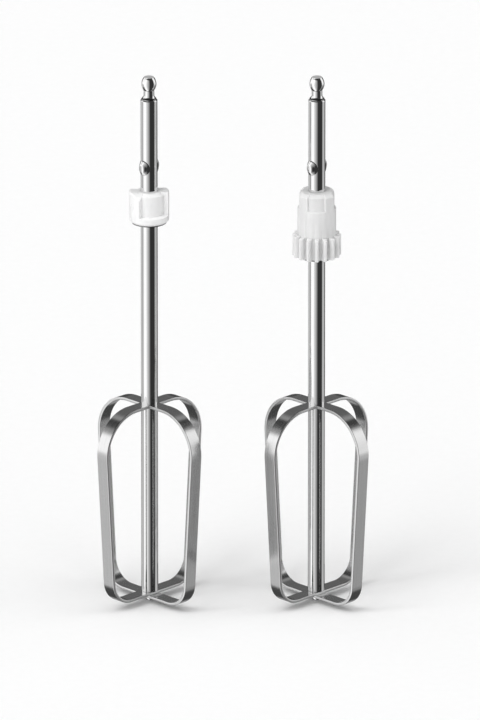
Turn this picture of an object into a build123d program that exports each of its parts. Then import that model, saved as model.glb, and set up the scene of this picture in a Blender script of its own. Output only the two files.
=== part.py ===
from build123d import *
import os
from math import acos, cos, pi, radians, sin, sqrt, tan

# A pair of whisking beaters for a hand mixer: one plain, one with a small gear.
# Millimetres, +Z up. The origin is on the floor, midway between the two upright shafts.
# The plain beater stands at -X and the geared one at +X; -Y is the front.
# A bearing is an angle about a shaft, 0 at the front and growing towards +X.

# Layout
AXIS_SPACING = 61.9
BEATER_X = {"plain": -AXIS_SPACING / 2, "gear": AXIS_SPACING / 2}

# Blade loops: flat strip bent into a tapered cage that is open at the top of each arm
STRIP_W = 5.2
STRIP_T = 1.1
STRIP_EDGE_R = 0.22
FOOT_HEAD_H = 2.0
LOWER_LOOP_Z = FOOT_HEAD_H
UPPER_LOOP_Z = LOWER_LOOP_Z + STRIP_T
HUB_TOP_Z = 78.2
SIDE_R_LOW = 21.6
SIDE_LOW_Z = 13.2
SIDE_TAPER = 3.65
SHOULDER_R = 15.5
FOOT_CORNER_R = 9.5
LOOP_TURN = {"upper": 45, "lower": -45}

# Shaft tube
SHAFT_R = 3.15
BORE_R = 2.45
SHAFT_FOOT_Z = UPPER_LOOP_Z + STRIP_T
SHAFT_RIM_Z = 196.9
RIM_CHAMFER = 0.3

# Turned tip: a stem in the tube, a coved skirt, a neck and a flat-topped ball
STEM_L = 6.0
SKIRT_R = 2.75
SKIRT_GAP = 0.12
SKIRT_H = 0.1
NECK_R = 2.0
NECK_Z = 198.5
BALL_R = 2.8
BALL_Z = 202.7
TIP_TOP_Z = 205.5
TIP_FLAT_R = 1.9
TIP_EDGE_R = 0.35

# Drive pin: a cross pin through the tube, with an oval head on each side as a drive lug
PIN_Z = 170.7
PIN_R = 1.5
PIN_BEARING = -45
# Each head's half width and half height at a distance out from the shaft's axis
HEAD_FOOT = (1.4, 2.8, 2.95)
HEAD_WAIST = (2.4, 2.3, 2.95)
HEAD_FLANK = (3.3, 1.72, 2.74)
HEAD_BROW = (4.0, 1.27, 2.1)
HEAD_NOSE = (4.3, 0.7, 1.1)

# Foot rivet: a plug in the tube, a shank through the strips and a domed head
PLUG_L = 8.0
SHANK_R = 1.3
RIVET_HEAD_R = 1.9

# Collars
COLLAR_TOP_Z = 161.3
CORE_R = 5.6
CORE_CHAMFER = 1.1
WASHER_R = 6.5
WASHER_T = 0.5

# Plain collar: a flange below two lobes, each lobe with a ramp on its leading end
PLAIN_FOOT_Z = 149.5
FLANGE_R = 7.4
FLANGE_H = 2.85
FLANGE_CHAMFER = 0.7
LOBE_FROM = -108.0
LOBE_SPAN = 79.4
LOBE_CHAMFER = 0.3
RAMP_SPAN = 39.4
RAMP_DROP = 2.2

# Geared collar: a ribbed sleeve above an involute gear, in one moulding
SLEEVE_R = 7.15
SLEEVE_CHAMFER = 1.1
RECESS_FOOT_Z = 154.9
RECESS_COUNT = 4
RECESS_SPAN = 54.0
RECESS_FROM = -1.4
GEAR_TOP_Z = 144.5
GEAR_FOOT_Z = 136.1
GEAR_TEETH = 16
GEAR_MODULE = 1.0
PRESSURE_ANGLE = 20.0
TOOTH_FOOT_CHAMFER = 0.4
TOOTH_TOP_CHAMFER = 0.3


def upright(radius, low, high, chamfer_low=0.0, chamfer_high=0.0):
    """A turned cylinder between two heights, with optional chamfered ends."""
    outline = [(0, low), (radius - chamfer_low, low)]
    if chamfer_low:
        outline.append((radius, low + chamfer_low))
    outline.append((radius, high - chamfer_high))
    if chamfer_high:
        outline.append((radius - chamfer_high, high))
    outline.append((0, high))
    section = Plane.XZ * make_face(Polyline(*outline, close=True))
    return revolve(section, Axis.Z)


def bored(solid, low, high):
    """The solid with the shaft's hole through it."""
    return solid - upright(SHAFT_R, low - 1, high + 1)


def wedge(bearing, span, radius, low, high):
    """A pie slice about the shaft: its first side is at the bearing."""
    reach = radius / cos(radians(span / 4))
    corners = [(0, 0)]
    for part in (0, 0.5, 1):
        angle = radians(bearing + span * part)
        corners.append((reach * sin(angle), -reach * cos(angle)))
    slab = extrude(make_face(Polyline(*corners, close=True)), high - low)
    return Pos(0, 0, low) * slab


def blade_loop(underside_z, turn):
    """One strip bent into a loop, mitred at the top around the shaft."""
    taper = tan(radians(SIDE_TAPER))
    low_r = SIDE_R_LOW + (underside_z - SIDE_LOW_Z) * taper
    top_r = SIDE_R_LOW + (HUB_TOP_Z - SIDE_LOW_Z) * taper
    corners = [(-low_r, underside_z), (low_r, underside_z), (top_r, HUB_TOP_Z), (-top_r, HUB_TOP_Z)]
    outline = make_face(Polyline(*corners, close=True))
    outline = fillet(outline.vertices().sort_by(Axis.Y)[2:], SHOULDER_R)
    outline = fillet(outline.vertices().sort_by(Axis.Y)[:2], FOOT_CORNER_R)
    band = outline - offset(outline, amount=-STRIP_T)
    strip = extrude(Plane.XZ * band, STRIP_W / 2, both=True)
    long_edges = [edge for edge in strip.edges() if edge.bounding_box().size.Y < 1e-4]
    strip = fillet(long_edges, STRIP_EDGE_R)

    cut_low = HUB_TOP_Z - 2 * STRIP_T
    for side in (-1, 1):
        mitre = Polyline((0, 0), (STRIP_W, side * STRIP_W), (-STRIP_W, side * STRIP_W), close=True)
        strip -= Pos(0, 0, cut_low) * extrude(make_face(mitre), 3 * STRIP_T)
    strip -= upright(SHAFT_R, cut_low, HUB_TOP_Z + 1)
    strip -= upright(SHANK_R, 0, SHAFT_FOOT_Z + 1)
    return Rot(0, 0, turn) * strip


def cross_pin():
    """The round pin alone, from one head to the other."""
    return Pos(0, 0, PIN_Z) * Rot(0, 0, PIN_BEARING) * extrude(Plane.XZ * Circle(PIN_R), SHAFT_R, both=True)


def pin_head():
    """One bell-shaped head on the pin's front end, from inside the tube out to its small flat nose."""
    stations = (HEAD_FOOT, HEAD_WAIST, HEAD_FLANK, HEAD_BROW, HEAD_NOSE)
    ovals = [Plane.XZ.offset(out) * Ellipse(half_w, half_h) for out, half_w, half_h in stations]
    return loft(ovals, ruled=True)


def drive_pin():
    """The cross pin and its heads, which are hollowed to sit on the tube."""
    tube_room = upright(SHAFT_R, PIN_Z - SHAFT_R, PIN_Z + SHAFT_R)
    heads = [Pos(0, 0, PIN_Z) * Rot(0, 0, PIN_BEARING + turn) * pin_head() for turn in (0, 180)]
    pin = cross_pin() & tube_room
    for head in heads:
        pin += head - tube_room
    return pin


def shaft_tube():
    """The tube, drilled across for the drive pin."""
    tube = upright(SHAFT_R, SHAFT_FOOT_Z, SHAFT_RIM_Z, chamfer_high=RIM_CHAMFER)
    tube -= upright(BORE_R, SHAFT_FOOT_Z - 1, SHAFT_RIM_Z + 1)
    return tube - cross_pin()


def ball_tip():
    """The turned tip that the mixer's catch holds."""
    skirt_z = SHAFT_RIM_Z + SKIRT_GAP
    ball_foot_z = BALL_Z - sqrt(BALL_R**2 - NECK_R**2)
    edge_z = TIP_TOP_Z - TIP_EDGE_R
    waist_z = ball_foot_z - 0.3
    skirt_top_z = skirt_z + SKIRT_H
    cove_mid = (SKIRT_R - (SKIRT_R - NECK_R) * sin(pi / 4), NECK_Z - (NECK_Z - skirt_top_z) * sin(pi / 4))
    ball_low = (BALL_R * cos(radians(22)), BALL_Z - BALL_R * sin(radians(22)))
    outline = Line((NECK_R, waist_z), (NECK_R, NECK_Z))
    outline += ThreePointArc((NECK_R, NECK_Z), cove_mid, (SKIRT_R, skirt_top_z))
    outline += Polyline(
        (SKIRT_R, skirt_top_z),
        (SKIRT_R, skirt_z),
        (BORE_R, skirt_z),
        (BORE_R, SHAFT_RIM_Z - STEM_L),
        (0, SHAFT_RIM_Z - STEM_L),
        (0, TIP_TOP_Z),
        (TIP_FLAT_R - TIP_EDGE_R, TIP_TOP_Z),
        (TIP_FLAT_R, edge_z),
    )
    outline += ThreePointArc((TIP_FLAT_R, edge_z), (BALL_R * 0.93, BALL_Z + 1.35), (BALL_R, BALL_Z))
    outline += ThreePointArc((BALL_R, BALL_Z), ball_low, (NECK_R, waist_z))
    return revolve(Plane.XZ * make_face(outline), Axis.Z)


def foot_rivet():
    """The plug, shank and domed head that close the cage on the tube."""
    outline = ThreePointArc((0, 0), (RIVET_HEAD_R * 0.8, FOOT_HEAD_H * 0.4), (RIVET_HEAD_R, FOOT_HEAD_H))
    outline += Polyline(
        (RIVET_HEAD_R, FOOT_HEAD_H),
        (SHANK_R, FOOT_HEAD_H),
        (SHANK_R, SHAFT_FOOT_Z),
        (BORE_R, SHAFT_FOOT_Z),
        (BORE_R, SHAFT_FOOT_Z + PLUG_L),
        (0, SHAFT_FOOT_Z + PLUG_L),
        (0, 0),
    )
    return revolve(Plane.XZ * make_face(outline), Axis.Z)


def collar_washer(foot_z):
    """The thin steel ring that backs a collar."""
    ring = upright(WASHER_R, foot_z - WASHER_T, foot_z)
    return bored(ring, foot_z - WASHER_T, foot_z)


def plain_collar():
    """Two ramped lobes on a round core, above a flange."""
    flange_top_z = PLAIN_FOOT_Z + FLANGE_H
    collar = upright(FLANGE_R, PLAIN_FOOT_Z, flange_top_z, chamfer_low=FLANGE_CHAMFER)
    collar += upright(CORE_R, PLAIN_FOOT_Z, COLLAR_TOP_Z, chamfer_high=CORE_CHAMFER)
    lobed = upright(FLANGE_R, PLAIN_FOOT_Z + 1, COLLAR_TOP_Z, chamfer_high=LOBE_CHAMFER)
    for turn in (0, 180):
        start = LOBE_FROM + turn
        collar += lobed & wedge(start, LOBE_SPAN, 2 * FLANGE_R, PLAIN_FOOT_Z + 1, COLLAR_TOP_Z)
    chord = 2 * FLANGE_R * sin(radians(RAMP_SPAN / 2))
    for turn in (0, 180):
        end = LOBE_FROM + LOBE_SPAN + turn
        ramp = make_face(Polyline((0, 0), (-chord, 0), (2, -RAMP_DROP * (1 + 2 / chord)), (2, 0), close=True))
        block = extrude(Plane.XZ * ramp, 2 * FLANGE_R)
        block = Pos(0, -CORE_R + 0.9, COLLAR_TOP_Z) * block
        collar -= Rot(0, 0, end - RAMP_SPAN / 2) * Pos(chord / 2, 0, 0) * block
    return bored(collar, PLAIN_FOOT_Z, COLLAR_TOP_Z)


def tooth_half_angle(radius):
    """Half the angle that a tooth fills at a radius, from the involute."""
    pitch_r = GEAR_TEETH * GEAR_MODULE / 2
    base_r = pitch_r * cos(radians(PRESSURE_ANGLE))
    pressure = acos(min(1.0, base_r / radius))
    involute = tan(radians(PRESSURE_ANGLE)) - radians(PRESSURE_ANGLE) - tan(pressure) + pressure
    return pi / (2 * GEAR_TEETH) + involute


def polar(radius, angle):
    """A point in plan at a bearing in radians."""
    return (radius * sin(angle), -radius * cos(angle))


def gear_blank():
    """The toothed ring, with tapered tooth ends."""
    pitch_r = GEAR_TEETH * GEAR_MODULE / 2
    tip_r = pitch_r + GEAR_MODULE
    root_r = pitch_r - 1.25 * GEAR_MODULE
    step = 2 * pi / GEAR_TEETH
    root, pitch, tip = (tooth_half_angle(r) for r in (root_r, pitch_r, tip_r))
    root *= 1.08
    outline = Curve()
    for number in range(GEAR_TEETH):
        middle = number * step
        for side in (-1, 1):
            outline += ThreePointArc(
                polar(root_r, middle + side * root),
                polar(pitch_r, middle + side * pitch),
                polar(tip_r, middle + side * tip),
            )
        outline += ThreePointArc(polar(tip_r, middle - tip), polar(tip_r, middle), polar(tip_r, middle + tip))
        gap = middle + step / 2
        half_gap = step / 2 - root
        outline += ThreePointArc(polar(root_r, gap - half_gap), polar(root_r, gap), polar(root_r, gap + half_gap))
    ring = Pos(0, 0, GEAR_FOOT_Z) * extrude(make_face(outline), GEAR_TOP_Z - GEAR_FOOT_Z)
    return ring & upright(tip_r, GEAR_FOOT_Z, GEAR_TOP_Z, TOOTH_FOOT_CHAMFER, TOOTH_TOP_CHAMFER)


def gear_collar():
    """The ribbed sleeve and the gear as one moulding."""
    collar = upright(SLEEVE_R, GEAR_TOP_Z, COLLAR_TOP_Z, chamfer_high=SLEEVE_CHAMFER)
    core = upright(CORE_R, RECESS_FOOT_Z - 1, COLLAR_TOP_Z, chamfer_high=CORE_CHAMFER)
    for number in range(RECESS_COUNT):
        start = RECESS_FROM + number * 360 / RECESS_COUNT - RECESS_SPAN / 2
        collar -= wedge(start, RECESS_SPAN, 2 * SLEEVE_R, RECESS_FOOT_Z, COLLAR_TOP_Z + 1)
    collar += core
    collar += gear_blank()
    return bored(collar, GEAR_FOOT_Z, COLLAR_TOP_Z)


def beater(kind):
    """Every sub-part of one beater, by its short name, about its own axis."""
    collar, collar_foot_z = {
        "plain": (plain_collar, PLAIN_FOOT_Z),
        "gear": (gear_collar, GEAR_FOOT_Z),
    }[kind]
    return {
        "shaft_tube": shaft_tube(),
        "ball_tip": ball_tip(),
        "drive_pin": drive_pin(),
        "collar": collar(),
        "collar_washer": collar_washer(collar_foot_z),
        "blade_upper": blade_loop(UPPER_LOOP_Z, LOOP_TURN["upper"]),
        "blade_lower": blade_loop(LOWER_LOOP_Z, LOOP_TURN["lower"]),
        "foot_rivet": foot_rivet(),
    }


os.makedirs("parts", exist_ok=True)
for kind, x in BEATER_X.items():
    for name, solid in beater(kind).items():
        export_step(Pos(x, 0, 0) * solid, f"parts/{kind}_{name}.step")
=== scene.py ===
from math import acos, atan2, cos, degrees, hypot, pi, radians, sin, sqrt, tan

import bpy
import bmesh
import numpy as np
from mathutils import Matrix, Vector


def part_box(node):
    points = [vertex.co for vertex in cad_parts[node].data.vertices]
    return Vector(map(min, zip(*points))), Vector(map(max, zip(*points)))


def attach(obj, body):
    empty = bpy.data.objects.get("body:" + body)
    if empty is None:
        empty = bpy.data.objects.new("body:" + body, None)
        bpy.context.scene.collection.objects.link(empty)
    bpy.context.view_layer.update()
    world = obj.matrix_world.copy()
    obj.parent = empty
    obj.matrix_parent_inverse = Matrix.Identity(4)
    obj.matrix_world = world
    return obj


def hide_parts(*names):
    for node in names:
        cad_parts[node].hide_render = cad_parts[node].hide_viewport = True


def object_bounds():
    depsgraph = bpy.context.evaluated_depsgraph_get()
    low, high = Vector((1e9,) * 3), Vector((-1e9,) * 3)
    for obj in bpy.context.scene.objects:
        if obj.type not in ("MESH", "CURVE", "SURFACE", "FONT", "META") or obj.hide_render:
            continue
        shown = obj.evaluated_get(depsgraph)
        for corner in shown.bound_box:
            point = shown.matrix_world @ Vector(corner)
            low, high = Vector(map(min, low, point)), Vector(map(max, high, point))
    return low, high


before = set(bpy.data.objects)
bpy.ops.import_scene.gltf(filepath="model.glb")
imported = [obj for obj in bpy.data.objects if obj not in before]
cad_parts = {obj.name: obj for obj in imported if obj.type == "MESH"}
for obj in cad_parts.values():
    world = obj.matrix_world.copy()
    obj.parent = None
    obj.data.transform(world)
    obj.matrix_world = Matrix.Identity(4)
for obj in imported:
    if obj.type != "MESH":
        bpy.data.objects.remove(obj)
CAD_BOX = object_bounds()

# A pair of mixer beaters, plain at -X and geared at +X, upright, with their front at -Y.
# Sizes below are millimetres about each beater's own axis.
# A bearing is in degrees, 0 at the front, and grows towards +X.
MM = 0.001


def cad_mm(node):
    """A CAD node's lowest and highest corners in millimetres."""
    low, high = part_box(node)
    return [v / MM for v in low], [v / MM for v in high]


# Driving sizes, read off the frame
SHAFT_LOW, SHAFT_HIGH = cad_mm("plain_shaft_tube")
TIP_LOW, TIP_HIGH = cad_mm("plain_ball_tip")
PIN_LOW, PIN_HIGH = cad_mm("plain_drive_pin")
PLAIN_LOW, PLAIN_HIGH = cad_mm("plain_collar")
GEAR_LOW, GEAR_HIGH = cad_mm("gear_collar")
WASHER_LOW, WASHER_HIGH = cad_mm("gear_collar_washer")
UPPER_LOW, UPPER_HIGH = cad_mm("plain_blade_upper")
SHAFT_R = (SHAFT_HIGH[0] - SHAFT_LOW[0]) / 2
SHAFT_FOOT_Z = SHAFT_LOW[2]
SHAFT_RIM_Z = SHAFT_HIGH[2]
TIP_TOP_Z = TIP_HIGH[2]
TIP_FOOT_Z = TIP_LOW[2]
PIN_Z = (PIN_LOW[2] + PIN_HIGH[2]) / 2
COLLAR_TOP_Z = PLAIN_HIGH[2]
PLAIN_FOOT_Z = PLAIN_LOW[2]
GEAR_FOOT_Z = GEAR_LOW[2]
FLANGE_R = (PLAIN_HIGH[0] - PLAIN_LOW[0]) / 2
GEAR_TIP_R = (GEAR_HIGH[1] - GEAR_LOW[1]) / 2
WASHER_R = (WASHER_HIGH[0] - WASHER_LOW[0]) / 2
HUB_TOP_Z = UPPER_HIGH[2]
LOOP_FOOT_Z = {"upper": UPPER_LOW[2], "lower": cad_mm("plain_blade_lower")[0][2]}
STRIP_T = LOOP_FOOT_Z["upper"] - LOOP_FOOT_Z["lower"]
AXIS_X = {kind: sum(c[0] for c in cad_mm(f"{kind}_shaft_tube")) / 2 for kind in ("plain", "gear")}

# Blade loops
STRIP_W = 5.2
STRIP_CORNER_R = 0.2
STRIP_EDGE_CROWN = 0.07
SIDE_R_LOW = 21.6
SIDE_LOW_Z = 13.2
SIDE_TAPER = 3.65
SHOULDER_R = 15.5
FOOT_CORNER_R = 9.5
LOOP_TURN = {"upper": 45.0, "lower": -45.0}
LOOP_START = 4.6
# How far the UV map runs on at each hub end, and how far the ends sink into the tube's wall
HUB_LENGTH = 1.5
SINK = 0.04

# Shaft and tip
BORE_R = 2.45
RIM_CHAMFER = 0.3
SKIRT_R = 2.75
SKIRT_GAP = 0.12
SKIRT_H = 0.1
NECK_R = 2.0
NECK_Z = 198.5
BALL_R = 2.8
BALL_Z = 202.7
# The ball's outline: how far its foot is drawn down the neck, the angle of a point below its middle,
# and a point above its middle as a share of its radius and a height
BALL_NECKING = 0.3
BALL_LOW_ANGLE = 22.0
BALL_BROW = (0.915, 1.44)
# A fine groove round the neck, under the ball
GROOVE_DEPTH = 0.12
TIP_FLAT_R = 1.9
TIP_EDGE_R = 0.12
# The skirt's flare from its rim (1, 0) to the neck (0, 1)
FLARE = (
    (0.97, 0.04), (0.8, 0.17), (0.56, 0.34), (0.34, 0.5),
    (0.17, 0.64), (0.07, 0.76), (0.02, 0.88), (0, 1),
)
# How many of the flare's rows, up from the skirt, are near-black steel: painted shade in the gap at the
# tube's rim
SHADE_ROWS = 3

# Drive lugs: an oval on the tube and a small flat nose
LUG_BEARING = -45.0
LUG_HALF_W = 2.65
LUG_HALF_H = 2.83
LUG_NOSE_HALF_W = 0.62
LUG_NOSE_HALF_H = 0.95
LUG_NOSE_REACH = 4.3
LUG_STEP = 0.18
# How the skin spreads and falls from the nose to the oval
LUG_SPREAD = (0, 0.13, 0.25, 0.36, 0.47, 0.61, 0.73, 0.84, 0.94, 1)
LUG_FALL = (0, 0.02, 0.07, 0.16, 0.29, 0.47, 0.61, 0.75, 0.88, 1)
# How much the nose rises at its middle and half way out
LUG_CROWN = (0.03, 0.0225)
# Below the oval, the step down to the tube: how far out from the oval, and how high above the tube
LUG_FOOT = ((0.03, 0.09), (0.06, 0.015), (0.14, -0.05))

# Foot rivet and washers
RIVET_R = 1.9
RIVET_EDGE = 0.08
WASHER_EDGE_R = 0.12

# Collars
CORE_R = 5.6
CORE_CHAMFER = 1.1
FLANGE_H = 2.85
LOBE_FROM = -108.0
LOBE_SPAN = 79.4
RAMP_SPAN = 39.4
RAMP_DROP = 2.2
LOBE_CHAMFER = 0.35
LOBE_SOFT = 2.6
CROWN_R = 4.3
SLEEVE_R = 7.15
SLEEVE_CHAMFER = 1.1
RECESS_R = 6.5
RECESS_FOOT_Z = 154.9
RECESS_COUNT = 4
RECESS_SPAN = 54.0
RECESS_MIDDLE = -1.4
RECESS_SOFT = 3.0
LEDGE_RISE = 0.22
BORE_EDGE_R = 0.12
GEAR_TOP_Z = 144.5
GEAR_TEETH = 16
GEAR_MODULE = 1.0
PRESSURE_ANGLE = 20.0
TOOTH_DEPTH = 2.25
TOOTH_ROOT_R = 0.3
TOOTH_ROOT_SPREAD = 1.08
TOOTH_TIP_R = 0.2
# The rounding of the gear's lower face at the teeth's roots, and how much it grows to their tips
TOOTH_END_R = 0.2
TOOTH_END_RISE = 0.25

# Meshing, in degrees, and the level of the backdrop
SHARP_ANGLE = 40.0
NEARLY_STRAIGHT = 89.0
BACKDROP = 0.98


# ---------------------------------------------------------------- outlines

def smooth(t):
    """An ease from 0 to 1."""
    t = min(1.0, max(0.0, t))
    return t * t * (3 - 2 * t)


def rounded(corners, steps=5, closed=True, support=0.12, share=0.45):
    """An outline from (x, y, radius) corners: arcs at the corners, and a point near each arc's two ends.

    Every rounded corner gives the same number of points, even where it is nearly straight.
    """
    out = []
    count = len(corners)
    for i, (x, y, radius) in enumerate(corners):
        here = np.array((x, y))
        if not closed and i in (0, count - 1) or radius <= 0:
            out.append(here)
            continue
        to_last = np.array(corners[i - 1][:2]) - here
        to_next = np.array(corners[(i + 1) % count][:2]) - here
        last_l, next_l = np.linalg.norm(to_last), np.linalg.norm(to_next)
        to_last, to_next = to_last / last_l, to_next / next_l
        half = acos(max(-0.9999, min(0.9999, float(to_last @ to_next)))) / 2
        if half > radians(NEARLY_STRAIGHT):
            out += [here] * (steps + 3)
            continue
        reach = min(radius / tan(half), share * last_l, share * next_l)
        radius = reach * tan(half)
        middle = to_last + to_next
        centre = here + middle / np.linalg.norm(middle) * radius / sin(half)
        start, end = here + to_last * reach - centre, here + to_next * reach - centre
        turn = pi - 2 * half
        out.append(centre + start + to_last * min(support, 0.05 * last_l + 1e-3))
        for step in range(steps + 1):
            t = step / steps
            mixed = start * sin((1 - t) * turn) + end * sin(t * turn)
            out.append(centre + mixed / sin(turn))
        out.append(centre + end + to_next * min(support, 0.05 * next_l + 1e-3))
    return [tuple(p) for p in out]


def arc_through(start, middle, end, steps):
    """Points on the circle arc through three points."""
    (ax, ay), (bx, by), (cx, cy) = start, middle, end
    d = 2 * (ax * (by - cy) + bx * (cy - ay) + cx * (ay - by))
    aa, bb, cc = ax * ax + ay * ay, bx * bx + by * by, cx * cx + cy * cy
    ux = (aa * (by - cy) + bb * (cy - ay) + cc * (ay - by)) / d
    uy = (aa * (cx - bx) + bb * (ax - cx) + cc * (bx - ax)) / d
    radius = hypot(ax - ux, ay - uy)
    first = atan2(ay - uy, ax - ux)
    turn = (atan2(cy - uy, cx - ux) - first + pi) % (2 * pi) - pi
    angles = [first + turn * i / steps for i in range(steps + 1)]
    return [(ux + radius * cos(a), uy + radius * sin(a)) for a in angles]


def ledge(r_low, r_high, z, steps=8):
    """A rounded step in a profile, from one radius to another about a height."""
    points = []
    for i in range(steps + 1):
        t = i / steps
        points.append((r_low + (r_high - r_low) * smooth(t), z + LEDGE_RISE * (2 * t - 1), 0))
    return points


# ---------------------------------------------------------------- meshes

def piece(name, verts, faces, kind, material, uvs=None, others=()):
    """One mesh piece at its beater's axis, with outward normals and smooth shading.

    Others are more materials, each with the faces that have it.
    """
    mesh = bpy.data.meshes.new(name)
    shift = AXIS_X[kind]
    mesh.from_pydata([((x + shift) * MM, y * MM, z * MM) for x, y, z in verts], [], faces)
    if uvs:
        layer = mesh.uv_layers.new(name="strip")
        for loop in mesh.loops:
            layer.data[loop.index].uv = uvs[loop.vertex_index]
    mesh.materials.append(material)
    for place, (other, its_faces) in enumerate(others):
        mesh.materials.append(other)
        for index in its_faces:
            mesh.polygons[index].material_index = place + 1
    work = bmesh.new()
    work.from_mesh(mesh)
    bmesh.ops.remove_doubles(work, verts=work.verts, dist=1e-7)
    bmesh.ops.dissolve_degenerate(work, edges=work.edges, dist=1e-8)
    bmesh.ops.recalc_face_normals(work, faces=work.faces)
    for face in work.faces:
        face.smooth = True
    work.to_mesh(mesh)
    work.free()
    mesh.set_sharp_from_angle(angle=radians(SHARP_ANGLE))
    obj = bpy.data.objects.new(name, mesh)
    bpy.context.scene.collection.objects.link(obj)
    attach(obj, f"{kind}_beater")
    return obj


def turned(profile_at, bearings, closed=True):
    """Vertices and faces of a profile of (radius, z) points carried round the axis."""
    verts, faces = [], []
    rows = [profile_at(b) for b in bearings]
    size = len(rows[0])
    for bearing, row in zip(bearings, rows):
        s, c = sin(radians(bearing)), -cos(radians(bearing))
        verts += [(r * s, r * c, z) for r, z in row]
    last = size if closed else size - 1
    for i in range(len(rows)):
        here, there = i * size, (i + 1) % len(rows) * size
        for j in range(last):
            k = (j + 1) % size
            faces.append((here + j, here + k, there + k, there + j))
    return verts, faces


def even(count):
    """Evenly spaced bearings."""
    return [360 * i / count for i in range(count)]


# ---------------------------------------------------------------- shader graphs

class Graph:
    """A short way to write a node graph."""

    def __init__(self, tree):
        self.tree = tree

    def node(self, kind, inputs=None, **settings):
        made = self.tree.nodes.new(kind)
        for key, value in settings.items():
            setattr(made, key, value)
        for key, value in (inputs or {}).items():
            if isinstance(value, bpy.types.NodeSocket):
                self.tree.links.new(value, made.inputs[key])
            else:
                made.inputs[key].default_value = value
        return made

    def math(self, operation, *values):
        return self.node("ShaderNodeMath", dict(enumerate(values)), operation=operation).outputs[0]

    def ramp(self, value, low, high, to_low=0.0, to_high=1.0, ease="SMOOTHSTEP"):
        sockets = {"Value": value, "From Min": low, "From Max": high, "To Min": to_low, "To Max": to_high}
        return self.node("ShaderNodeMapRange", sockets, interpolation_type=ease).outputs[0]

    def noise(self, stretch, detail=4.0, rough=0.55, source="Object"):
        """Noise over object or UV coordinates, stretched by a scale along each."""
        place = self.node("ShaderNodeTexCoord").outputs[source]
        vector = self.node("ShaderNodeMapping", {"Vector": place, "Scale": stretch}).outputs[0]
        sockets = {"Vector": vector, "Scale": 1.0, "Detail": detail, "Roughness": rough}
        return self.node("ShaderNodeTexNoise", sockets).outputs["Fac"]

    def grey(self, pattern, low, high):
        """A grey between two tones that follows a pattern."""
        tone = self.ramp(pattern, 0.3, 0.7, low, high)
        return self.node("ShaderNodeCombineColor", {"Red": tone, "Green": tone, "Blue": tone}).outputs[0]

    def bump(self, height, strength, distance):
        sockets = {"Height": height, "Strength": strength, "Distance": distance}
        return self.node("ShaderNodeBump", sockets).outputs[0]


def material(name, **sockets):
    """A principled material and its graph; uniform values are set on the shader's own sockets."""
    made = bpy.data.materials.new(name)
    made.use_nodes = True
    shader = made.node_tree.nodes["Principled BSDF"]
    for key, value in sockets.items():
        shader.inputs[key.replace("_", " ")].default_value = value
    return made, Graph(made.node_tree), shader


def link(graph, shader, **sockets):
    """Links sockets of the graph to the shader's inputs of those names."""
    for key, socket in sockets.items():
        graph.tree.links.new(socket, shader.inputs[key.replace("_", " ")])


def steel(name, marks, haze, tones, roughs, relief):
    """Solid steel: fine marks in relief under a haze that varies its tone and gloss."""
    made, g, shader = material(name, Metallic=1.0, IOR=2.2)
    height = g.noise(marks, 3.0, 0.6)
    cloud = g.noise(haze, 4.0, 0.6)
    link(g, shader, Base_Color=g.grey(cloud, *tones), Roughness=g.ramp(cloud, 0.3, 0.75, *roughs))
    link(g, shader, Normal=g.bump(height, *relief))
    return made


def faced_steel():
    """The parted-off end of a turned piece: matt, with fine tool marks."""
    made, g, shader = material("faced steel end", Metallic=0.3, IOR=2.2)
    marks = g.noise((5000, 5000, 400), 4.0, 0.65)
    link(g, shader, Base_Color=g.grey(marks, 0.5, 0.66), Roughness=g.ramp(marks, 0.3, 0.7, 0.42, 0.55))
    link(g, shader, Normal=g.bump(marks, 0.2, 6e-6))
    return made


def strip_steel():
    """Rolled strip: satin, with fine lines along the strip from its UV map, in millimetres."""
    made, g, shader = material("rolled strip steel", Metallic=1.0, IOR=2.2, Anisotropic=0.35)
    lines = g.noise((0.35, 22.0, 1.0), 5.0, 0.65, "UV")
    broad = g.noise((0.05, 1.2, 1.0), 3.0, 0.5, "UV")
    mixed = g.math("ADD", g.math("MULTIPLY", lines, 0.6), g.math("MULTIPLY", broad, 0.4))
    link(g, shader, Base_Color=g.grey(mixed, 0.69, 0.75), Roughness=g.ramp(mixed, 0.3, 0.7, 0.14, 0.2))
    link(g, shader, Normal=g.bump(lines, 0.05, 4e-6))
    return made


def sheared_steel():
    """The strip's cut edge: finely scored across."""
    made, g, shader = material("sheared strip edge", Metallic=1.0, IOR=2.2)
    scores = g.noise((6.0, 1.5, 1.0), 5.0, 0.7, "UV")
    link(g, shader, Base_Color=g.grey(scores, 0.68, 0.8), Roughness=g.ramp(scores, 0.3, 0.7, 0.26, 0.4))
    link(g, shader, Normal=g.bump(scores, 0.12, 6e-6))
    return made


def moulded(name, base, rough, subsurface, radius):
    """Moulded plastic: a fine spark-eroded grain, faint flow tone and a soft gloss."""
    made, g, shader = material(name, IOR=1.49, Subsurface_Weight=subsurface, Subsurface_Scale=1.0)
    shader.inputs["Subsurface Radius"].default_value = (radius, radius, radius)
    grain = g.noise((9000, 9000, 9000), 2.0, 0.5)
    flow = g.noise((350, 350, 120))
    gloss = g.ramp(flow, 0.3, 0.7, rough - 0.04, rough + 0.04)
    link(g, shader, Base_Color=g.grey(flow, base - 0.02, base + 0.02), Roughness=gloss)
    link(g, shader, Normal=g.bump(grain, 0.12, 8e-6))
    return made


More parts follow.
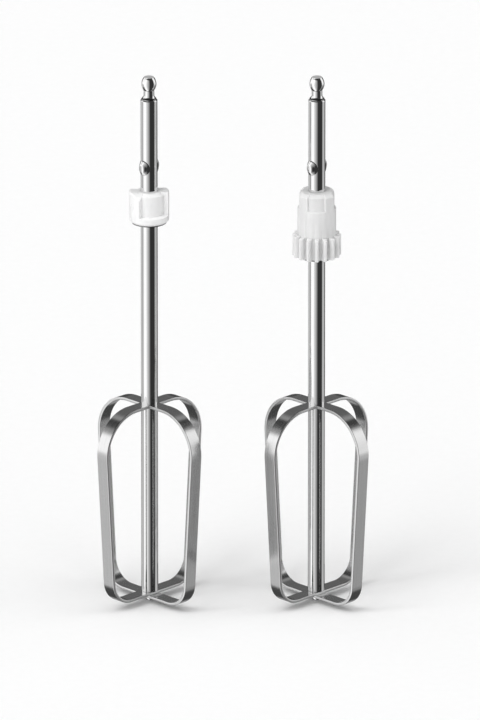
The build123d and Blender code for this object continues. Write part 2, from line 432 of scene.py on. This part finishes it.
# Steels: the scale of their marks and haze along x, y and z, then tones, roughnesses and relief.
# Drawn tube has lengthwise lines; turned and punched pieces have rings round the axis.
STEEL_DRAWN = steel(
    "polished drawn steel", (9000, 9000, 25), (160, 160, 40), (0.74, 0.79), (0.035, 0.085), (0.03, 2e-6)
)
STEEL_TURNED = steel(
    "polished turned steel", (40, 40, 14000), (400, 400, 400), (0.75, 0.81), (0.05, 0.11), (0.05, 2e-6)
)
# Near-black steel for the washers: painted shade under the collars
WASHER_SHADE_STEEL = steel(
    "washer steel painted dark as shade", (60, 60, 9000), (700, 700, 700), (0.16, 0.24), (0.28, 0.4), (0.1, 4e-6)
)
# Near-black steel for the tip's lowest flare rows: painted shade where the tip meets the tube's rim
STEEL_PAINTED_SHADE = steel(
    "painted shade at tip shoulder", (60, 60, 9000), (700, 700, 700), (0.056, 0.084), (0.28, 0.4), (0.1, 4e-6)
)
STEEL_FACED = faced_steel()
STEEL_STRIP = strip_steel()
STEEL_EDGE = sheared_steel()
WHITE = moulded("white moulding", 0.82, 0.3, 0.15, 0.0006)
NATURAL = moulded("natural moulding", 0.7, 0.34, 0.5, 0.0016)


# ---------------------------------------------------------------- turned pieces

def shaft(kind):
    """The polished tube, open at both ends, with a chamfered rim."""
    corners = [
        (BORE_R, SHAFT_FOOT_Z, 0.05),
        (SHAFT_R, SHAFT_FOOT_Z, 0.1),
        (SHAFT_R, SHAFT_RIM_Z - RIM_CHAMFER - 0.05, 0.4),
        (SHAFT_R - RIM_CHAMFER, SHAFT_RIM_Z, 0.08),
        (BORE_R, SHAFT_RIM_Z, 0.05),
    ]
    profile = rounded(corners)
    verts, faces = turned(lambda bearing: profile, even(144))
    made = piece(f"{kind}_shaft", verts, faces, kind, STEEL_DRAWN)
    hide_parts(f"{kind}_shaft_tube")


def ball_tip(kind):
    """The turned tip: stem, coved skirt, neck, ball and faced top."""
    skirt_z = SHAFT_RIM_Z + SKIRT_GAP
    flare_z = skirt_z + SKIRT_H
    stem = [(0, TIP_FOOT_Z, 0), (BORE_R, TIP_FOOT_Z, 0.3), (BORE_R, skirt_z, 0.04)]
    stem += [(SKIRT_R, skirt_z, 0.04), (SKIRT_R, flare_z, 0)]
    profile = rounded(stem, closed=False, support=0.03)
    foot = len(profile) - 1
    for out, up in FLARE:
        profile.append((NECK_R + (SKIRT_R - NECK_R) * out, flare_z + (NECK_Z - flare_z) * up))

    waist_z = BALL_Z - sqrt(BALL_R**2 - NECK_R**2) - BALL_NECKING
    profile += [(NECK_R, waist_z - 0.3), (NECK_R, waist_z - 0.14)]
    profile += [(NECK_R - GROOVE_DEPTH, waist_z - 0.04), (NECK_R, waist_z)]
    low_angle = radians(BALL_LOW_ANGLE)
    low = (BALL_R * cos(low_angle), BALL_Z - BALL_R * sin(low_angle))
    brow = (BALL_R * BALL_BROW[0], BALL_Z + BALL_BROW[1])
    edge_z = TIP_TOP_Z - TIP_EDGE_R
    profile += arc_through((NECK_R, waist_z), low, (BALL_R, BALL_Z), 16)[1:]
    profile += arc_through((BALL_R, BALL_Z), brow, (TIP_FLAT_R, edge_z), 16)[1:]

    crown = len(profile) - 1
    top = [(TIP_FLAT_R, edge_z, 0), (TIP_FLAT_R - 0.05, TIP_TOP_Z, 0.06), (0.9, TIP_TOP_Z, 0)]
    profile += rounded(top, closed=False, support=0.03)[1:]
    profile.append((0, TIP_TOP_Z))
    count = 96
    verts, faces = turned(lambda bearing: profile, even(count), closed=False)
    rows = len(profile) - 1
    flat = [i * rows + j for i in range(count) for j in range(crown + 3, rows)]
    # The flare's lowest rows take the near-black steel: painted shade in the gap at the rim
    shoulder = [i * rows + j for i in range(count) for j in range(foot, foot + SHADE_ROWS)]
    others = ((STEEL_FACED, flat), (STEEL_PAINTED_SHADE, shoulder))
    made = piece(f"{kind}_tip", verts, faces, kind, STEEL_TURNED, others=others)
    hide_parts(f"{kind}_ball_tip")


def drive_lugs(kind):
    """The two domed heads of the drive pin, with a small step down to the tube."""
    verts, faces = [], []
    across, down = 80, 18

    def skin(part, turn):
        """How far across, up and out from the shaft's axis, part of the way from the nose to the tube."""
        step = part * (len(LUG_SPREAD) - 1)
        spread = np.interp(step, range(len(LUG_SPREAD)), LUG_SPREAD)
        fall = np.interp(step, range(len(LUG_FALL)), LUG_FALL)
        w = (LUG_NOSE_HALF_W + (LUG_HALF_W - LUG_NOSE_HALF_W) * spread) * cos(turn)
        h = (LUG_NOSE_HALF_H + (LUG_HALF_H - LUG_NOSE_HALF_H) * spread) * sin(turn)
        foot = sqrt((SHAFT_R + LUG_STEP) ** 2 - (LUG_HALF_W * cos(turn)) ** 2)
        return w, h, LUG_NOSE_REACH - (LUG_NOSE_REACH - foot) * fall

    for side in (0, 180):
        lean = radians(LUG_BEARING + side)
        base = len(verts)
        for row in range(-2, down + 1 + len(LUG_FOOT)):
            for i in range(across):
                turn = 2 * pi * i / across
                w, h, out = skin(max(0, min(row, down)) / down, turn)
                if row < 0:
                    w *= (row + 2) / 2
                    h *= (row + 2) / 2
                    out += LUG_CROWN[row + 2]
                bearing, r = lean + atan2(w, out), hypot(w, out)
                if row > down:
                    spread, rise = LUG_FOOT[row - down - 1]
                    r = SHAFT_R + rise
                    bearing += spread * cos(turn) / SHAFT_R
                    h += spread * sin(turn)
                verts.append((r * sin(bearing), -r * cos(bearing), PIN_Z + h))
        for row in range(down + 2 + len(LUG_FOOT)):
            for i in range(across):
                j = (i + 1) % across
                low, high = base + row * across, base + (row + 1) * across
                faces.append((low + i, low + j, high + j, high + i))
    made = piece(f"{kind}_drive_lugs", verts, faces, kind, STEEL_TURNED)
    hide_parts(f"{kind}_drive_pin")


def foot_rivet(kind):
    """The peened head under the crossing strips."""
    head_h = LOOP_FOOT_Z["lower"]
    profile = [(0, 0.0), (0.35, 0.01)]
    for i in range(13):
        angle = radians(12 + 6.5 * i)
        profile.append((RIVET_R * sin(angle), head_h * 0.94 * (1 - cos(angle))))
    profile += [(RIVET_R, head_h * 0.97), (RIVET_R - RIVET_EDGE, head_h), (0.6, head_h), (0, head_h)]
    verts, faces = turned(lambda bearing: profile, even(72), closed=False)
    made = piece(f"{kind}_rivet_head", verts, faces, kind, STEEL_TURNED)
    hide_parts(f"{kind}_foot_rivet")


def washer(kind):
    """The thin ring behind a collar, in near-black steel: painted shade under the collar."""
    low, high = cad_mm(f"{kind}_collar_washer")
    square = ((SHAFT_R, low[2]), (WASHER_R, low[2]), (WASHER_R, high[2]), (SHAFT_R, high[2]))
    profile = rounded([(r, z, WASHER_EDGE_R) for r, z in square], steps=4)
    verts, faces = turned(lambda bearing: profile, even(120))
    made = piece(f"{kind}_washer", verts, faces, kind, WASHER_SHADE_STEEL)
    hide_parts(f"{kind}_collar_washer")


# ---------------------------------------------------------------- collars

def within(bearing, start, span, soft):
    """How far a bearing is inside a span, eased over its two ends."""
    turn = (bearing - start) % 360
    if turn > (360 + span) / 2:
        turn -= 360
    return smooth(turn / soft + 0.5) * smooth((span - turn) / soft + 0.5)


def fine(steps, marks, spacing):
    """Bearings all round, with extra ones close to each marked bearing."""
    extra = [(mark + spacing * i) % 360 for mark in marks for i in range(-9, 10)]
    return sorted({round(b, 4) for b in even(steps) + extra})


def plain_collar(kind):
    """Two ramped lobes on a round core, above a flange."""
    flange_z = PLAIN_FOOT_Z + FLANGE_H
    ramp_from = LOBE_FROM + LOBE_SPAN - RAMP_SPAN

    def profile_at(bearing):
        lobe = max(within(bearing, LOBE_FROM + turn, LOBE_SPAN, LOBE_SOFT) for turn in (0, 180))
        drop = 0
        for turn in (0, 180):
            into = (bearing - ramp_from - turn) % 360
            if into < RAMP_SPAN + LOBE_SOFT:
                drop = RAMP_DROP * smooth(min(1, into / RAMP_SPAN) * 0.5) * 2 * lobe
        upper_r = CORE_R + (FLANGE_R - CORE_R) * lobe
        chamfer = CORE_CHAMFER + (LOBE_CHAMFER - CORE_CHAMFER) * lobe
        brow_z = COLLAR_TOP_Z - drop * (1 - chamfer / (upper_r - CROWN_R))
        corners = [
            (SHAFT_R, PLAIN_FOOT_Z, 0.1),
            (FLANGE_R - 0.7, PLAIN_FOOT_Z, 0.3),
            (FLANGE_R, PLAIN_FOOT_Z + 0.7, 0.35),
            *ledge(FLANGE_R, upper_r, flange_z),
            (upper_r, COLLAR_TOP_Z - chamfer - drop, 0.28),
            (upper_r - chamfer, brow_z, 0.28),
            (CROWN_R, COLLAR_TOP_Z, 0.15),
            (SHAFT_R, COLLAR_TOP_Z, BORE_EDGE_R),
        ]
        return rounded(corners)

    marks = [LOBE_FROM + turn + end for turn in (0, 180) for end in (0, LOBE_SPAN)]
    verts, faces = turned(profile_at, fine(120, marks, 0.2))
    made = piece(f"{kind}_collar_moulding", verts, faces, kind, WHITE)
    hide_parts(f"{kind}_collar")


def tooth_half_angle(radius):
    """Half the angle that a tooth fills at a radius, from the involute."""
    base_r = GEAR_TEETH * GEAR_MODULE / 2 * cos(radians(PRESSURE_ANGLE))
    pressure = acos(min(1.0, base_r / radius))
    involute = tan(radians(PRESSURE_ANGLE)) - radians(PRESSURE_ANGLE) - tan(pressure) + pressure
    return pi / (2 * GEAR_TEETH) + involute


def gear_outline():
    """Bearing and radius of points round the teeth, with rounded tips and roots."""
    root_r = GEAR_TIP_R - TOOTH_DEPTH * GEAR_MODULE
    radii = [root_r + (GEAR_TIP_R - root_r) * t for t in (0, 0.3, 0.5, 0.7, 0.85, 1)]
    flank = [(r, tooth_half_angle(r), 0) for r in radii]
    flank[0] = (root_r, tooth_half_angle(root_r) * TOOTH_ROOT_SPREAD, TOOTH_ROOT_R)
    flank[-1] = (radii[-1], tooth_half_angle(radii[-1]), TOOTH_TIP_R)
    corners = []
    for number in range(GEAR_TEETH):
        middle = 2 * pi * number / GEAR_TEETH
        for side, part in ((-1, flank), (1, flank[::-1])):
            for r, half, bend in part:
                angle = middle + side * half
                corners.append((r * sin(angle), -r * cos(angle), bend))
    points = []
    for x, y in rounded(corners, steps=4, support=0.05):
        points.append((degrees(atan2(x, -y)) % 360, hypot(x, y)))
    return sorted(points)


def gear_collar(kind):
    """A ribbed sleeve above a gear, in one translucent moulding."""
    outline = gear_outline()
    bearings_in = [outline[-1][0] - 360] + [b for b, r in outline] + [outline[0][0] + 360]
    radii_in = [outline[-1][1]] + [r for b, r in outline] + [outline[0][1]]
    root_r = min(radii_in)
    starts = [RECESS_MIDDLE + n * 360 / RECESS_COUNT - RECESS_SPAN / 2 for n in range(RECESS_COUNT)]

    def profile_at(bearing):
        tooth_r = float(np.interp(bearing, bearings_in, radii_in))
        recess = max(within(bearing, start, RECESS_SPAN, RECESS_SOFT) for start in starts)
        upper_r = SLEEVE_R + (RECESS_R - SLEEVE_R) * recess
        blunt = TOOTH_END_R + TOOTH_END_RISE * (tooth_r - root_r) / (GEAR_TIP_R - root_r)
        corners = [
            (SHAFT_R, GEAR_FOOT_Z, 0.1),
            (tooth_r, GEAR_FOOT_Z, blunt),
            *ledge(tooth_r, SLEEVE_R, GEAR_TOP_Z),
            *ledge(SLEEVE_R, upper_r, RECESS_FOOT_Z),
            (upper_r, COLLAR_TOP_Z - SLEEVE_CHAMFER, 0.4),
            (upper_r - SLEEVE_CHAMFER, COLLAR_TOP_Z, 0.4),
            (SHAFT_R, COLLAR_TOP_Z, BORE_EDGE_R),
        ]
        return rounded(corners)

    marks = [start + end for start in starts for end in (0, RECESS_SPAN)]
    teeth = [round(b, 4) for b, r in outline]
    verts, faces = turned(profile_at, sorted(set(fine(60, marks, 0.25) + teeth)))
    made = piece(f"{kind}_collar_moulding", verts, faces, kind, NATURAL)
    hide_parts(f"{kind}_collar")


# ---------------------------------------------------------------- blade loops

def loop_path(foot_z):
    """The strip's middle line from the hub out, down and in to the foot, as (rho, z)."""
    taper = tan(radians(SIDE_TAPER))
    half = STRIP_T / 2
    inset = half / cos(radians(SIDE_TAPER))
    top_z, low_z = HUB_TOP_Z - half, foot_z + half
    corners = [
        (LOOP_START, top_z, 0),
        (SIDE_R_LOW + (top_z - SIDE_LOW_Z) * taper - inset, top_z, SHOULDER_R - half),
        (SIDE_R_LOW + (low_z - SIDE_LOW_Z) * taper - inset, low_z, FOOT_CORNER_R - half),
        (0, low_z, 0),
    ]
    return rounded(corners, steps=36, closed=False, support=0.6, share=0.95)


def strip_section():
    """The strip's rounded section as (thickness, width), with its cut edges slightly crowned."""
    half_t, half_w = STRIP_T / 2, STRIP_W / 2
    corners = []
    for side in (1, -1):
        corners.append((side * half_t, -side * half_w, STRIP_CORNER_R))
        corners += [(side * half_t, side * w, 0) for w in (-2.0, -1.2, 0, 1.2, 2.0)]
        corners.append((side * half_t, side * half_w, STRIP_CORNER_R))
        corners.append((side * 0.1, side * (half_w + STRIP_EDGE_CROWN), 0.2))
    return rounded(corners, steps=4, support=0.05)


def blade_loop(kind, which):
    """One bent strip, its two hub ends mitred against the other loop's and hollowed to meet the shaft."""
    arm = loop_path(LOOP_FOOT_Z[which])
    path = arm + [(-rho, z) for rho, z in arm[-2::-1]]
    section = strip_section()
    size = len(section)
    turn = radians(LOOP_TURN[which])
    along, across = (cos(turn), sin(turn)), (-sin(turn), cos(turn))
    verts, uvs = [], []
    seam = [0.0]
    for a, b in zip(section, section[1:]):
        seam.append(seam[-1] + hypot(b[0] - a[0], b[1] - a[1]))

    def ring(points, length):
        for (rho, z, width), s in zip(points, seam):
            verts.append((rho * along[0] + width * across[0], rho * along[1] + width * across[1], z))
            uvs.append((length, s))

    def hub_end(side):
        """Where the strip ends: on its mitre, or round the shaft where that is further out."""
        wall = SHAFT_R - SINK
        reach = [max(abs(w), sqrt(max(0.0, wall**2 - w**2))) for t, w in section]
        return [(side * r, HUB_TOP_Z - STRIP_T / 2 + t, w) for r, (t, w) in zip(reach, section)]

    ring(hub_end(1), -HUB_LENGTH)
    length = 0.0
    for i, (rho, z) in enumerate(path):
        before, after = path[max(i - 1, 0)], path[min(i + 1, len(path) - 1)]
        run = hypot(after[0] - before[0], after[1] - before[1])
        normal = (-(after[1] - before[1]) / run, (after[0] - before[0]) / run)
        if i:
            length += hypot(rho - path[i - 1][0], z - path[i - 1][1])
        ring([(rho + t * normal[0], z + t * normal[1], w) for t, w in section], length)
    ring(hub_end(-1), length + HUB_LENGTH)

    faces, edge_faces = [], []
    rings = len(path) + 2
    half_w = STRIP_W / 2
    for i in range(rings - 1):
        for j in range(size):
            k = (j + 1) % size
            if min(abs(section[j][1]), abs(section[k][1])) > half_w - STRIP_CORNER_R * 0.5:
                edge_faces.append(len(faces))
            faces.append((i * size + j, i * size + k, (i + 1) * size + k, (i + 1) * size + j))
    faces.append(tuple(range(size)))
    faces.append(tuple((rings - 1) * size + j for j in range(size)))
    made = piece(f"{kind}_{which}_strip", verts, faces, kind, STEEL_STRIP, uvs, ((STEEL_EDGE, edge_faces),))
    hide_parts(f"{kind}_blade_{which}")


for beater in ("plain", "gear"):
    shaft(beater)
    ball_tip(beater)
    drive_lugs(beater)
    foot_rivet(beater)
    washer(beater)
    for which in ("upper", "lower"):
        blade_loop(beater, which)
plain_collar("plain")
gear_collar("gear")


# ---------------------------------------------------------------- floor, light and camera

def floor():
    """A wide sheet of pale paper, which the steel doesn't reflect."""
    reach = 60 * CAD_BOX[1][2]
    square = [(-reach, -reach, 0), (reach, -reach, 0), (reach, reach, 0), (-reach, reach, 0)]
    mesh = bpy.data.meshes.new("floor")
    mesh.from_pydata(square, [], [(0, 1, 2, 3)])
    made = bpy.data.objects.new("floor", mesh)
    bpy.context.scene.collection.objects.link(made)
    paper, g, shader = material("pale floor", Roughness=0.9, Specular_IOR_Level=0.1)
    link(g, shader, Base_Color=g.grey(g.noise((300, 300, 300), 3.0), 0.935, 0.945))
    mesh.materials.append(paper)
    made.visible_glossy = False


def studio():
    """The softboxes, flags and walls of the studio, as a world that depends only on direction.

    The camera sees a plain pale backdrop instead, where it looks past the floor.
    """
    world = bpy.data.worlds.new("studio")
    bpy.context.scene.world = world
    world.use_nodes = True
    g = Graph(world.node_tree)
    place = g.node("ShaderNodeTexCoord").outputs["Generated"]
    axes = g.node("ShaderNodeSeparateXYZ", {"Vector": place}).outputs
    back = g.math("MULTIPLY", axes["Y"], -1.0)
    azimuth = g.math("MULTIPLY", g.math("ARCTAN2", axes["X"], back), 180 / pi)
    height = g.math("MULTIPLY", g.math("ARCSINE", axes["Z"]), 180 / pi)
    # How far round from the front on either side
    spread = g.math("ABSOLUTE", azimuth)

    def window(value, low, high, soft):
        rise = g.ramp(value, low - soft, low + soft)
        return g.math("MULTIPLY", rise, g.ramp(value, high + soft, high - soft))

    def paint(under, level, angle, low, high, soft, foot=-90, top=90, feather=3):
        """A card over what is there: its level, and its span and soft edges across and up, in degrees."""
        mask = window(angle, low, high, soft)
        if foot > -90 or top < 90:
            mask = g.math("MULTIPLY", mask, window(height, foot, top, feather))
        gap = g.math("SUBTRACT", level, under)
        return g.math("ADD", under, g.math("MULTIPLY", gap, mask))

    fade = g.ramp(azimuth, -38, 14, 1.0, 0.12, "LINEAR")
    cards = (
        # the far wall, from its foot up
        (0.36, spread, 150, 200, 8, -45, -14, 5),
        (0.07, spread, 150, 200, 8, -12, 13, 4),
        (0.14, spread, 150, 200, 8, 14, 50, 4),
        # the left softbox and its table
        (0.66, azimuth, -160, -74, 6, -31, -10, 3),
        (1.25, azimuth, -125, -74, 6, -10, 29, 5),
        # the right softbox and its table
        (0.60, azimuth, 84, 121, 3, -24, -15, 4),
        (1.15, azimuth, 84, 121, 3, -13, 38, 6),
        # flags low at both sides, at the back right and in front of the left table
        (0.07, spread, 96, 160, 5, -90, -35, 4),
        (0.12, azimuth, 127, 158, 4, -30, 40, 4),
        (0.50, azimuth, -112, -94, 4, -30, -14, 4),
        # the front left softbox, the fade from it to the middle, and the front right flag
        (1.30, azimuth, -81, -37, 2),
        (fade, azimuth, -37, 14, 2),
        (0.04, azimuth, 12, 77, 3),
        # the dark ceiling, lower in front than behind
        (0.05, spread, -20, 134, 5, 40, 200, 3),
        (0.05, spread, 130, 200, 5, 62, 200, 5),
    )
    light = g.ramp(height, -60, 60, 0.30, 0.36)
    for card in cards:
        light = paint(light, *card)
    seen = g.node("ShaderNodeLightPath").outputs["Is Camera Ray"]
    light = g.math("ADD", light, g.math("MULTIPLY", g.math("SUBTRACT", BACKDROP, light), seen))
    shade = g.node("ShaderNodeBackground", {"Color": light, "Strength": 1.0})
    out = world.node_tree.nodes.get("World Output") or g.node("ShaderNodeOutputWorld")
    world.node_tree.links.new(shade.outputs[0], out.inputs["Surface"])


def sun(name, azimuth, elevation, width, strength):
    """A broad, soft light on the matt surfaces; the steel shows the studio alone."""
    data = bpy.data.lights.new(name, "SUN")
    data.angle = radians(width)
    data.energy = strength
    made = bpy.data.objects.new(name, data)
    bpy.context.scene.collection.objects.link(made)
    az, el = radians(azimuth), radians(elevation)
    towards = Vector((sin(az) * cos(el), -cos(az) * cos(el), sin(el)))
    made.rotation_mode = "QUATERNION"
    made.rotation_quaternion = towards.to_track_quat("Z", "Y")
    made.visible_glossy = False
    made.visible_camera = False


def camera(target, elevation, distance, lens_per_metre):
    """A long lens in front of the beaters and above the horizon."""
    data = bpy.data.cameras.new("camera")
    made = bpy.data.objects.new("camera", data)
    bpy.context.scene.collection.objects.link(made)
    data.sensor_width = 36
    data.lens = lens_per_metre * distance
    data.clip_end = 1000
    tilt = radians(elevation)
    back = Vector((0, -cos(tilt), sin(tilt)))
    made.location = target + back * distance
    made.rotation_mode = "QUATERNION"
    made.rotation_quaternion = (-back).to_track_quat("-Z", "Y")
    bpy.context.scene.camera = made


floor()
studio()
sun("key", -45, 50, 35, 1.35)
sun("fill", 55, 45, 60, 0.85)
sun("front", 0, 25, 60, 0.3)
sun("top", 0, 88, 50, 0.72)
camera(Vector((0.0026, 0, 0.0949)), elevation=19.5, distance=6.5, lens_per_metre=135.0)
bpy.context.scene.view_settings.view_transform = "Standard"
